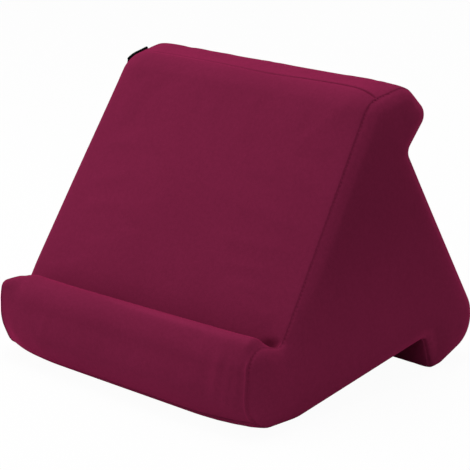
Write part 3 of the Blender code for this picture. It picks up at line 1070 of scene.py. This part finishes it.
def foam_material():
    """Pale, matt foam with a fine cell pattern."""
    made, tree, shader, where = new_material("foam")
    toned(tree, shader, FOAM, varied(tree, where, *FOAM_TONE))
    cells = tree.nodes.new("ShaderNodeTexVoronoi")
    cells.inputs["Scale"].default_value = CELL_SCALE
    tree.links.new(where, cells.inputs["Vector"])
    bumped(tree, shader, cells.outputs["Distance"], *CELL_BUMP)
    tree.links.new(varied(tree, where, *FOAM_ROUGHNESS), shader.inputs["Roughness"])
    return made


def ribbon_material():
    """Black ribbon with fine ribs."""
    made, tree, shader, where = new_material("label_ribbon")
    toned(tree, shader, RIBBON_BLACK, varied(tree, where, *RIBBON_TONE))
    shader.inputs["Specular IOR Level"].default_value = 0.0
    ribs = tree.nodes.new("ShaderNodeTexWave")
    ribs.inputs["Scale"].default_value = RIB_SCALE
    ribs.inputs["Distortion"].default_value = RIB_UNEVEN
    tree.links.new(where, ribs.inputs["Vector"])
    bumped(tree, shader, ribs.outputs["Fac"], *RIB_BUMP)
    tree.links.new(varied(tree, where, *RIBBON_ROUGHNESS), shader.inputs["Roughness"])
    return made


foam_finish, ribbon_finish = foam_material(), ribbon_material()
print("finishes:", foam_finish.name, ribbon_finish.name)

# %% [markdown]
# ## Dress the stand
# Each piece gets its finish, rides with the stand and takes the place of its plain solid.

# %% Dress the pieces
dressing = []
for node, piece in cover.items():
    dressing.append((piece, node, side_velvet if "side" in node else strip_velvet, "velvet"))
dressing.append((foam, "foam_core", foam_finish, "foam"))
dressing.append((tab, "side_label", ribbon_finish, "label_ribbon"))
for piece, node, finish, slot in dressing:
    piece.data.materials.append(finish)
    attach(piece, "root")
    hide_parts(node)
    print(piece.name, "replaces", node)

# %% [markdown]
# ## Camera
# The photograph was taken from the front right, a little above. These values were found by laying
# the part's outline over the photograph's.

# %% Camera
CAMERA_PLACE = (1.12624, -1.12877, 0.56780)
CAMERA_TURNS = ((44.815, "Z"), (90 - 16.42, "X"), (-0.69, "Z"))  # degrees: turn, tip and tilt
CAMERA_LENS = 162.84

camera = bpy.data.objects.new("camera", bpy.data.cameras.new("camera"))
camera.location = CAMERA_PLACE
turn, tip, tilt = (Matrix.Rotation(math.radians(angle), 3, axis) for angle, axis in CAMERA_TURNS)
camera.rotation_euler = (turn @ tip @ tilt).to_euler()
camera.data.lens = CAMERA_LENS
camera.data.sensor_width = 36.0
bpy.context.scene.collection.objects.link(camera)
bpy.context.scene.camera = camera
print("the camera is", round(camera.location.length, 2), "m away")

# %% [markdown]
# ## Lamps
# The photograph has soft light from above and a little from the left, so two broad lamps do.

# %% Lamps
def lamp(name, place, aim, size, power):
    """A square lamp at a place, turned to its aim."""
    made = bpy.data.objects.new(name, bpy.data.lights.new(name, "AREA"))
    made.data.size = size
    made.data.energy = power
    made.location = place
    gaze = np.array(aim) - np.array(place)
    made.rotation_euler = (
        math.atan2(math.hypot(gaze[0], gaze[1]), -gaze[2]),
        0.0,
        math.atan2(-gaze[0], gaze[1]),
    )
    bpy.context.scene.collection.objects.link(made)
    print(name, "gives", power, "W")


lamp("lamp_left", (-0.7, -0.5, 0.4), (0, 0, 0.08), 0.4, 2.4)
lamp("lamp_above", (-0.2, 0.1, 1.8), (0, 0, 0.1), 1.0, 20.0)

# %% [markdown]
# ## White ground
# The photograph's ground is pure white. More light would wash the velvet out, so white is given only
# to the rays that the camera sends, and to gloss and see-through rays. The light on the stand still
# comes from a plain world and a plain floor. The floor's white is not quite whole, which leaves a
# trace of the stand's shadow.

# %% World
AMBIENT = 0.45


def white_ground(tree, share):
    """The share of white: camera, gloss and see-through rays find it, and other rays none."""
    path = tree.nodes.new("ShaderNodeLightPath")
    seen = maths(tree, "ADD", path.outputs["Is Camera Ray"], path.outputs["Is Glossy Ray"])
    seen = maths(tree, "ADD", seen, path.outputs["Is Transmission Ray"])
    return maths(tree, "MINIMUM", seen, share)


def mixed(tree, share, plain, white, target):
    """Links a plain and a white shader, mixed by a share, to a target."""
    mix = tree.nodes.new("ShaderNodeMixShader")
    tree.links.new(white_ground(tree, share), mix.inputs["Fac"])
    tree.links.new(plain, mix.inputs[1])
    tree.links.new(white, mix.inputs[2])
    tree.links.new(mix.outputs["Shader"], target)


world = bpy.data.worlds.new("world")
bpy.context.scene.world = world
world.use_nodes = True
tree = world.node_tree
ambient, bright = tree.nodes["Background"], tree.nodes.new("ShaderNodeBackground")
for background, strength in ((ambient, AMBIENT), (bright, 1.0)):
    background.inputs["Color"].default_value = (1, 1, 1, 1)
    background.inputs["Strength"].default_value = strength
surface = tree.nodes["World Output"].inputs["Surface"]
mixed(tree, 1.0, ambient.outputs["Background"], bright.outputs["Background"], surface)
print("the world lights the stand at", AMBIENT)

# %% [markdown]
# The floor is one large square. Its own tone is a light grey, as a sheet of paper is.

# %% Floor
FLOOR_TONE = 0.8
FLOOR_WHITE = 0.96
FLOOR_HALF = 6  # metres

corners = [(x * FLOOR_HALF, y * FLOOR_HALF, 0) for x, y in ((-1, -1), (1, -1), (1, 1), (-1, 1))]
floor_mesh = bpy.data.meshes.new("floor")
floor_mesh.from_pydata(corners, [], [(0, 1, 2, 3)])
floor = bpy.data.objects.new("floor", floor_mesh)
bpy.context.scene.collection.objects.link(floor)
ground = bpy.data.materials.new("ground")
ground.use_nodes = True
tree = ground.node_tree
plain = tree.nodes["Principled BSDF"]
plain.inputs["Base Color"].default_value = (FLOOR_TONE, FLOOR_TONE, FLOOR_TONE, 1)
plain.inputs["Roughness"].default_value = 1.0
plain.inputs["Specular IOR Level"].default_value = 0.0
glow = tree.nodes.new("ShaderNodeEmission")
glow.inputs["Strength"].default_value = 1.0
surface = tree.nodes["Material Output"].inputs["Surface"]
mixed(tree, FLOOR_WHITE, plain.outputs["BSDF"], glow.outputs["Emission"], surface)
floor.data.materials.append(ground)
print("the floor is", 2 * FLOOR_HALF, "m wide")

# %% [markdown]
# ## Finish
# The view transform keeps colours as they are written.

# %% Finish
scene = bpy.context.scene
scene.view_settings.view_transform = "Standard"
